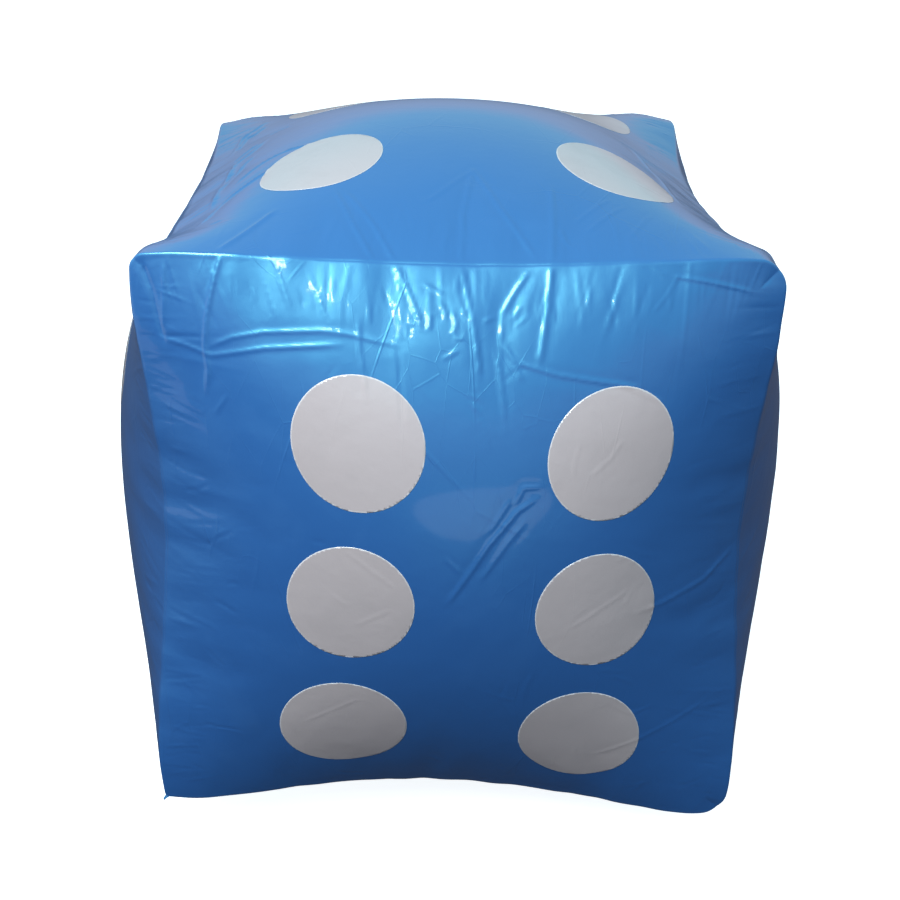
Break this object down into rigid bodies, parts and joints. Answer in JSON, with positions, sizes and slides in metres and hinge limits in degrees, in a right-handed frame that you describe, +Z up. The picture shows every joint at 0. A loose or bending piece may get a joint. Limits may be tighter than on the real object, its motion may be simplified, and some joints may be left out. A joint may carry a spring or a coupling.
{
  "type": "inflatable yard die",
  "caption": "Giant inflatable cube die for lawn games: six pillowed film panels welded at their edges, printed pips and a push-in air valve with plug and check flap.",
  "frame": {"origin": "on the ground, under the middle of the die as it rests on its three", "axes": "+Z up through the four; +X towards the two's side, which holds the valve; -Y towards the six"},
  "size_m": [1.1013, 1.1022, 1.0941],
  "materials": {
    "blue_film": "gloss",
    "pale_ink": "satin",
    "clear_vinyl": "gloss",
    "flap_vinyl": "satin"
  },
  "bodies": {
    "film_cube": {"front_panel": "blue_film", "back_panel": "blue_film", "left_panel": "blue_film", "right_panel": "blue_film", "top_panel": "blue_film", "bottom_panel": "blue_film", "front_pips": "pale_ink", "back_pip": "pale_ink", "left_pips": "pale_ink", "right_pips": "pale_ink", "top_pips": "pale_ink", "bottom_pips": "pale_ink", "valve_flange": "clear_vinyl"},
    "stem": {"valve_stem": "clear_vinyl", "valve_skirt": "clear_vinyl"},
    "plug": {"valve_plug": "clear_vinyl", "valve_strap": "clear_vinyl"},
    "flap": {"check_flap": "flap_vinyl"}
  },
  "joints": [
    {"name": "valve_pull", "type": "slide", "parent": "film_cube", "child": "stem", "axis": [1, 0, 0], "range_m": [0, 0.022], "deforming": ["valve_skirt"]},
    {"name": "cap_flip", "type": "hinge", "parent": "stem", "child": "plug", "pos_m": [0.5488, 0, 0.53265], "axis": [0, 1, 0], "range_deg": [0, 110], "deforming": ["valve_strap"]},
    {"name": "flap_open", "type": "hinge", "parent": "stem", "child": "flap", "pos_m": [0.5278, 0, 0.54865], "axis": [0, 1, 0], "range_deg": [0, 60], "stiffness_Nm_per_rad": 0.0002}
  ]
}
